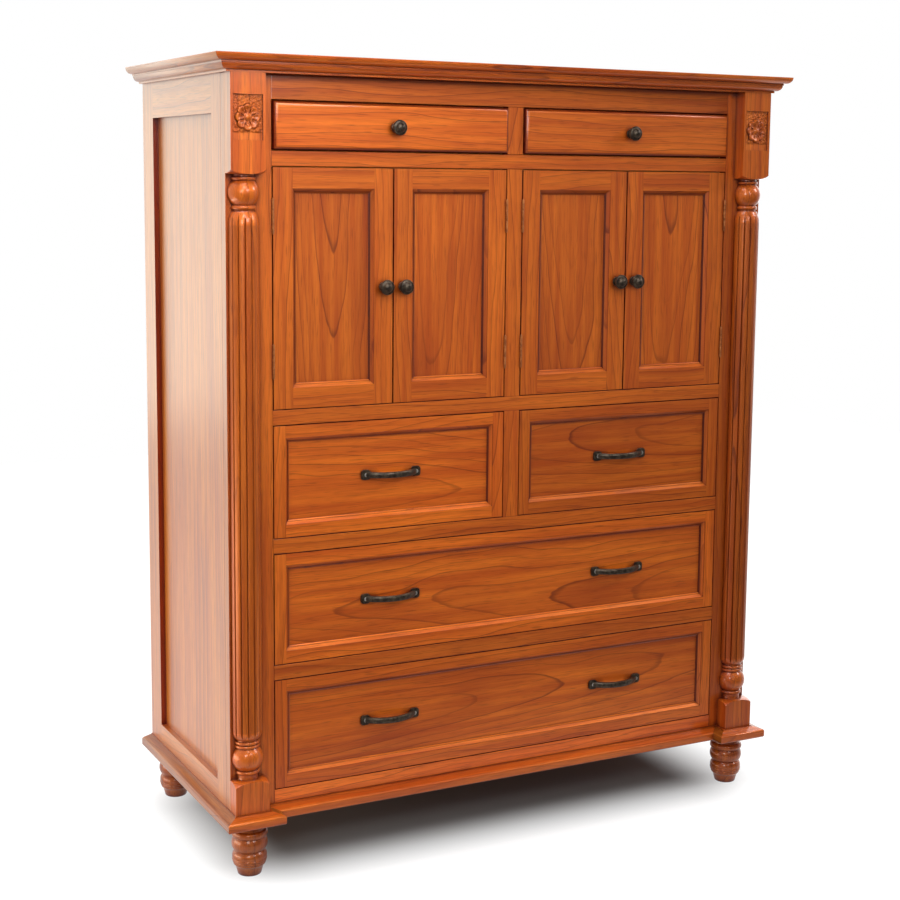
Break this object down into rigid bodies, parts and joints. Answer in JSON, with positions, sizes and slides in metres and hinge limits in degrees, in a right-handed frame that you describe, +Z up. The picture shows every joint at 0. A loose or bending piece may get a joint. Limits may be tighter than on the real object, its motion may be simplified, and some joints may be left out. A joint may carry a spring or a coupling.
{
  "type": "tall chest with doors and drawers",
  "caption": "Tall stained-wood chest: small top drawers, panelled doors and framed drawers between reeded corner posts with carved rosettes, on turned feet",
  "frame": {"origin": "on the floor under the middle of the bounding box", "axes": "+Z up, the front with the drawers faces -Y, +X is to the right seen from the front"},
  "size_m": [1.136, 0.4976, 1.38],
  "materials": {
    "stained_wood": "satin lacquer",
    "inside_wood": "plain, unstained",
    "dark_bronze": "oil-rubbed, dark",
    "hinge_metal": "dull, dark"
  },
  "bodies": {
    "case": {"back_panel": "inside_wood", "base_board": "stained_wood", "centre_partitions": "inside_wood", "corner_post_left": "stained_wood", "corner_post_right": "stained_wood", "cornice_board": "stained_wood", "cupboard_shelves": "inside_wood", "door_stops": "inside_wood", "drawer_guides": "inside_wood", "dust_boards": "inside_wood", "face_frame_muntins": "stained_wood", "face_frame_rails": "stained_wood", "face_frame_stiles": "stained_wood", "foot_back_left": "stained_wood", "foot_back_right": "stained_wood", "foot_front_left": "stained_wood", "foot_front_right": "stained_wood", "hinge_leaves_fixed": "hinge_metal", "hinge_pins": "hinge_metal", "rosettes": "stained_wood", "shelf_cleats": "inside_wood", "side_frame_left": "stained_wood", "side_frame_right": "stained_wood", "side_panels": "stained_wood", "top_board": "stained_wood"},
    "door_inner_left": {"door_inner_left_frame": "stained_wood", "door_inner_left_hinge_leaves": "hinge_metal", "door_inner_left_knob": "dark_bronze", "door_inner_left_panel": "stained_wood"},
    "door_inner_right": {"door_inner_right_frame": "stained_wood", "door_inner_right_hinge_leaves": "hinge_metal", "door_inner_right_knob": "dark_bronze", "door_inner_right_panel": "stained_wood"},
    "door_outer_left": {"door_outer_left_frame": "stained_wood", "door_outer_left_hinge_leaves": "hinge_metal", "door_outer_left_knob": "dark_bronze", "door_outer_left_panel": "stained_wood"},
    "door_outer_right": {"door_outer_right_frame": "stained_wood", "door_outer_right_hinge_leaves": "hinge_metal", "door_outer_right_knob": "dark_bronze", "door_outer_right_panel": "stained_wood"},
    "drawer_lower_wide": {"drawer_lower_wide_box": "inside_wood", "drawer_lower_wide_front": "stained_wood", "drawer_lower_wide_pulls": "dark_bronze"},
    "drawer_middle_left": {"drawer_middle_left_box": "inside_wood", "drawer_middle_left_front": "stained_wood", "drawer_middle_left_pull": "dark_bronze"},
    "drawer_middle_right": {"drawer_middle_right_box": "inside_wood", "drawer_middle_right_front": "stained_wood", "drawer_middle_right_pull": "dark_bronze"},
    "drawer_top_left": {"drawer_top_left_box": "inside_wood", "drawer_top_left_front": "stained_wood", "drawer_top_left_knob": "dark_bronze"},
    "drawer_top_right": {"drawer_top_right_box": "inside_wood", "drawer_top_right_front": "stained_wood", "drawer_top_right_knob": "dark_bronze"},
    "drawer_upper_wide": {"drawer_upper_wide_box": "inside_wood", "drawer_upper_wide_front": "stained_wood", "drawer_upper_wide_pulls": "dark_bronze"}
  },
  "joints": [
    {"name": "door_outer_left_hinge", "type": "hinge", "parent": "case", "child": "door_outer_left", "pos_m": [-0.4555, -0.19835, 1.001], "axis": [0, 0, -1], "range_deg": [0, 110]},
    {"name": "door_inner_left_hinge", "type": "hinge", "parent": "case", "child": "door_inner_left", "pos_m": [-0.01635, -0.19835, 1.001], "axis": [0, 0, 1], "range_deg": [0, 85]},
    {"name": "door_inner_right_hinge", "type": "hinge", "parent": "case", "child": "door_inner_right", "pos_m": [0.01635, -0.19835, 1.001], "axis": [0, 0, -1], "range_deg": [0, 85]},
    {"name": "door_outer_right_hinge", "type": "hinge", "parent": "case", "child": "door_outer_right", "pos_m": [0.4555, -0.19835, 1.001], "axis": [0, 0, 1], "range_deg": [0, 110]},
    {"name": "drawer_top_left_slide", "type": "slide", "parent": "case", "child": "drawer_top_left", "axis": [0, -1, 0], "range_m": [0, 0.3]},
    {"name": "drawer_top_right_slide", "type": "slide", "parent": "case", "child": "drawer_top_right", "axis": [0, -1, 0], "range_m": [0, 0.3]},
    {"name": "drawer_middle_left_slide", "type": "slide", "parent": "case", "child": "drawer_middle_left", "axis": [0, -1, 0], "range_m": [0, 0.3]},
    {"name": "drawer_middle_right_slide", "type": "slide", "parent": "case", "child": "drawer_middle_right", "axis": [0, -1, 0], "range_m": [0, 0.3]},
    {"name": "drawer_upper_wide_slide", "type": "slide", "parent": "case", "child": "drawer_upper_wide", "axis": [0, -1, 0], "range_m": [0, 0.3]},
    {"name": "drawer_lower_wide_slide", "type": "slide", "parent": "case", "child": "drawer_lower_wide", "axis": [0, -1, 0], "range_m": [0, 0.3]}
  ]
}
